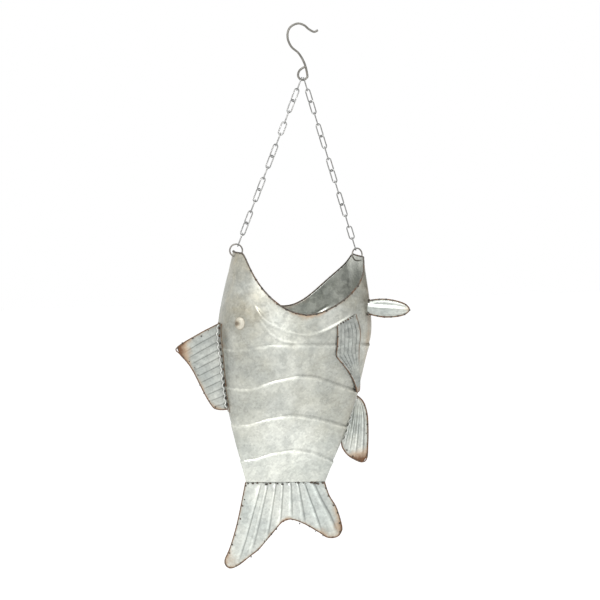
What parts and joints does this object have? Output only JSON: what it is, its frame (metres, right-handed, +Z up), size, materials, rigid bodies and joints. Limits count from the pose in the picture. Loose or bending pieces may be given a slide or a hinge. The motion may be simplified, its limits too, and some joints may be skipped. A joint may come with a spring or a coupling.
{
  "type": "hanging fish planter",
  "caption": "Fish-shaped galvanised sheet pocket hung head up on two chains from one wire hook; its open mouth is the way in, with ribbed fins and a forked tail.",
  "frame": {"origin": "inside top of the hook's crook, where the object hangs", "axes": "+Z up; +X across the fish from its back to its belly; +Y from its near side to its far side"},
  "size_m": [0.2937, 0.1241, 0.7067],
  "materials": {
    "hook_wire": "dark weathered steel wire",
    "chain_steel": "plain zinc-plated steel",
    "ring_wire": "dull steel wire",
    "body_sheet": "galvanised sheet with soft spangle and rust-tinted edges",
    "fin_sheet": "galvanised sheet, ribbed, rusty at the tips",
    "fin_wire": "rusty soldered edge wire",
    "eye_paint": "cream wash, browned on one side"
  },
  "bodies": {
    "hook": {"hook": "hook_wire"},
    "link_left_01": {"link_left_01": "chain_steel"},
    "link_left_02": {"link_left_02": "chain_steel"},
    "link_left_03": {"link_left_03": "chain_steel"},
    "link_left_04": {"link_left_04": "chain_steel"},
    "link_left_05": {"link_left_05": "chain_steel"},
    "link_left_06": {"link_left_06": "chain_steel"},
    "link_left_07": {"link_left_07": "chain_steel"},
    "link_left_08": {"link_left_08": "chain_steel"},
    "link_left_09": {"link_left_09": "chain_steel"},
    "link_left_10": {"link_left_10": "chain_steel"},
    "link_left_11": {"link_left_11": "chain_steel"},
    "link_left_12": {"link_left_12": "chain_steel"},
    "link_left_13": {"link_left_13": "chain_steel"},
    "link_left_14": {"link_left_14": "chain_steel"},
    "link_left_15": {"link_left_15": "chain_steel"},
    "ring_left": {"ring_left": "ring_wire"},
    "link_right_01": {"link_right_01": "chain_steel"},
    "link_right_02": {"link_right_02": "chain_steel"},
    "link_right_03": {"link_right_03": "chain_steel"},
    "link_right_04": {"link_right_04": "chain_steel"},
    "link_right_05": {"link_right_05": "chain_steel"},
    "link_right_06": {"link_right_06": "chain_steel"},
    "link_right_07": {"link_right_07": "chain_steel"},
    "link_right_08": {"link_right_08": "chain_steel"},
    "link_right_09": {"link_right_09": "chain_steel"},
    "link_right_10": {"link_right_10": "chain_steel"},
    "link_right_11": {"link_right_11": "chain_steel"},
    "link_right_12": {"link_right_12": "chain_steel"},
    "link_right_13": {"link_right_13": "chain_steel"},
    "link_right_14": {"link_right_14": "chain_steel"},
    "link_right_15": {"link_right_15": "chain_steel"},
    "ring_right": {"ring_right": "ring_wire"},
    "fish": {"body_near": "body_sheet", "body_far": "body_sheet", "mouth_rim_wire": "fin_wire", "eye_near": "eye_paint", "eye_far": "eye_paint", "dorsal_fin": "fin_sheet", "anal_fin": "fin_sheet", "tail_fin": "fin_sheet", "belly_fin": "fin_sheet", "pectoral_near": "fin_sheet", "pectoral_far": "fin_sheet", "dorsal_fin_wire": "fin_wire", "anal_fin_wire": "fin_wire", "tail_fin_wire": "fin_wire", "belly_fin_wire": "fin_wire", "pectoral_near_wire": "fin_wire", "pectoral_far_wire": "fin_wire"}
  },
  "joints": [
    {"name": "sway_left", "type": "hinge", "parent": "hook", "child": "link_left_01", "pos_m": [0.0054, 0, -0.0637], "axis": [0, 1, 0], "range_deg": [-20, 20]},
    {"name": "sway_right", "type": "hinge", "parent": "hook", "child": "link_right_01", "pos_m": [0.0054, 0, -0.0637], "axis": [0, 1, 0], "range_deg": [-20, 20]},
    {"name": "swing_left_01", "type": "hinge", "parent": "link_left_01", "child": "link_left_02", "pos_m": [-0.00198, 0, -0.08225], "axis": [0.9988, 0, -0.0499], "range_deg": [-20, 20]},
    {"name": "swing_right_01", "type": "hinge", "parent": "link_right_01", "child": "link_right_02", "pos_m": [0.01155, 0, -0.08293], "axis": [0.9988, 0, -0.0499], "range_deg": [-20, 20]},
    {"name": "swing_left_02", "type": "hinge", "parent": "link_left_02", "child": "link_left_03", "pos_m": [-0.00763, 0, -0.09644], "axis": [0.9987, 0, -0.0519], "range_deg": [-4, 4]},
    {"name": "swing_right_02", "type": "hinge", "parent": "link_right_02", "child": "link_right_03", "pos_m": [0.01628, 0, -0.09768], "axis": [0.9987, 0, -0.0519], "range_deg": [-4, 4]},
    {"name": "swing_left_03", "type": "hinge", "parent": "link_left_03", "child": "link_left_04", "pos_m": [-0.01327, 0, -0.11062], "axis": [0.9986, 0, -0.0527], "range_deg": [-4, 4]},
    {"name": "swing_right_03", "type": "hinge", "parent": "link_right_03", "child": "link_right_04", "pos_m": [0.021, 0, -0.11243], "axis": [0.9986, 0, -0.0527], "range_deg": [-4, 4]},
    {"name": "swing_left_04", "type": "hinge", "parent": "link_left_04", "child": "link_left_05", "pos_m": [-0.01892, 0, -0.12481], "axis": [0.9986, 0, -0.0531], "range_deg": [-4, 4]},
    {"name": "swing_right_04", "type": "hinge", "parent": "link_right_04", "child": "link_right_05", "pos_m": [0.02572, 0, -0.12718], "axis": [0.9986, 0, -0.0531], "range_deg": [-4, 4]},
    {"name": "swing_left_05", "type": "hinge", "parent": "link_left_05", "child": "link_left_06", "pos_m": [-0.02457, 0, -0.13899], "axis": [0.9986, 0, -0.0534], "range_deg": [-4, 4]},
    {"name": "swing_right_05", "type": "hinge", "parent": "link_right_05", "child": "link_right_06", "pos_m": [0.03044, 0, -0.14193], "axis": [0.9986, 0, -0.0534], "range_deg": [-4, 4]},
    {"name": "swing_left_06", "type": "hinge", "parent": "link_left_06", "child": "link_left_07", "pos_m": [-0.03021, 0, -0.15318], "axis": [0.9986, 0, -0.0536], "range_deg": [-4, 4]},
    {"name": "swing_right_06", "type": "hinge", "parent": "link_right_06", "child": "link_right_07", "pos_m": [0.03516, 0, -0.15668], "axis": [0.9986, 0, -0.0536], "range_deg": [-4, 4]},
    {"name": "swing_left_07", "type": "hinge", "parent": "link_left_07", "child": "link_left_08", "pos_m": [-0.03586, 0, -0.16736], "axis": [0.9986, 0, -0.0537], "range_deg": [-4, 4]},
    {"name": "swing_right_07", "type": "hinge", "parent": "link_right_07", "child": "link_right_08", "pos_m": [0.03988, 0, -0.17144], "axis": [0.9986, 0, -0.0537], "range_deg": [-4, 4]},
    {"name": "swing_left_08", "type": "hinge", "parent": "link_left_08", "child": "link_left_09", "pos_m": [-0.0415, 0, -0.18155], "axis": [0.9986, 0, -0.0538], "range_deg": [-4, 4]},
    {"name": "swing_right_08", "type": "hinge", "parent": "link_right_08", "child": "link_right_09", "pos_m": [0.0446, 0, -0.18619], "axis": [0.9986, 0, -0.0538], "range_deg": [-4, 4]},
    {"name": "swing_left_09", "type": "hinge", "parent": "link_left_09", "child": "link_left_10", "pos_m": [-0.04715, 0, -0.19573], "axis": [0.9985, 0, -0.0539], "range_deg": [-4, 4]},
    {"name": "swing_right_09", "type": "hinge", "parent": "link_right_09", "child": "link_right_10", "pos_m": [0.04932, 0, -0.20094], "axis": [0.9985, 0, -0.0539], "range_deg": [-4, 4]},
    {"name": "swing_left_10", "type": "hinge", "parent": "link_left_10", "child": "link_left_11", "pos_m": [-0.05279, 0, -0.20992], "axis": [0.9985, 0, -0.054], "range_deg": [-4, 4]},
    {"name": "swing_right_10", "type": "hinge", "parent": "link_right_10", "child": "link_right_11", "pos_m": [0.05404, 0, -0.21569], "axis": [0.9985, 0, -0.054], "range_deg": [-4, 4]},
    {"name": "swing_left_11", "type": "hinge", "parent": "link_left_11", "child": "link_left_12", "pos_m": [-0.05844, 0, -0.2241], "axis": [0.9985, 0, -0.054], "range_deg": [-4, 4]},
    {"name": "swing_right_11", "type": "hinge", "parent": "link_right_11", "child": "link_right_12", "pos_m": [0.05876, 0, -0.23044], "axis": [0.9985, 0, -0.054], "range_deg": [-4, 4]},
    {"name": "swing_left_12", "type": "hinge", "parent": "link_left_12", "child": "link_left_13", "pos_m": [-0.06408, 0, -0.23829], "axis": [0.9985, 0, -0.054], "range_deg": [-4, 4]},
    {"name": "swing_right_12", "type": "hinge", "parent": "link_right_12", "child": "link_right_13", "pos_m": [0.06349, 0, -0.24519], "axis": [0.9985, 0, -0.054], "range_deg": [-4, 4]},
    {"name": "swing_left_13", "type": "hinge", "parent": "link_left_13", "child": "link_left_14", "pos_m": [-0.06973, 0, -0.25247], "axis": [0.9985, 0, -0.0541], "range_deg": [-4, 4]},
    {"name": "swing_right_13", "type": "hinge", "parent": "link_right_13", "child": "link_right_14", "pos_m": [0.06821, 0, -0.25994], "axis": [0.9985, 0, -0.0541], "range_deg": [-4, 4]},
    {"name": "swing_left_14", "type": "hinge", "parent": "link_left_14", "child": "link_left_15", "pos_m": [-0.07537, 0, -0.26666], "axis": [0.9985, 0, -0.0541], "range_deg": [-4, 4]},
    {"name": "swing_right_14", "type": "hinge", "parent": "link_right_14", "child": "link_right_15", "pos_m": [0.07293, 0, -0.27469], "axis": [0.9985, 0, -0.0541], "range_deg": [-4, 4]},
    {"name": "swing_left_15", "type": "hinge", "parent": "link_left_15", "child": "ring_left", "pos_m": [-0.08102, 0, -0.28084], "axis": [0.9985, 0, -0.0541], "range_deg": [-8, 8]},
    {"name": "swing_right_15", "type": "hinge", "parent": "link_right_15", "child": "ring_right", "pos_m": [0.07765, 0, -0.28945], "axis": [0.9985, 0, -0.0541], "range_deg": [-8, 8]},
    {"name": "nod", "type": "hinge", "parent": "ring_left", "child": "fish", "pos_m": [-0.08668, 0, -0.29507], "axis": [0.9986, 0, -0.0523], "range_deg": [-20, 20]}
  ],
  "couplings": [
    {"joint": "sway_right", "follows": "sway_left", "ratio": 1},
    {"joint": "swing_right_01", "follows": "swing_left_01", "ratio": 1},
    {"joint": "swing_right_02", "follows": "swing_left_02", "ratio": 1},
    {"joint": "swing_right_03", "follows": "swing_left_03", "ratio": 1},
    {"joint": "swing_right_04", "follows": "swing_left_04", "ratio": 1},
    {"joint": "swing_right_05", "follows": "swing_left_05", "ratio": 1},
    {"joint": "swing_right_06", "follows": "swing_left_06", "ratio": 1},
    {"joint": "swing_right_07", "follows": "swing_left_07", "ratio": 1},
    {"joint": "swing_right_08", "follows": "swing_left_08", "ratio": 1},
    {"joint": "swing_right_09", "follows": "swing_left_09", "ratio": 1},
    {"joint": "swing_right_10", "follows": "swing_left_10", "ratio": 1},
    {"joint": "swing_right_11", "follows": "swing_left_11", "ratio": 1},
    {"joint": "swing_right_12", "follows": "swing_left_12", "ratio": 1},
    {"joint": "swing_right_13", "follows": "swing_left_13", "ratio": 1},
    {"joint": "swing_right_14", "follows": "swing_left_14", "ratio": 1},
    {"joint": "swing_right_15", "follows": "swing_left_15", "ratio": 1}
  ]
}
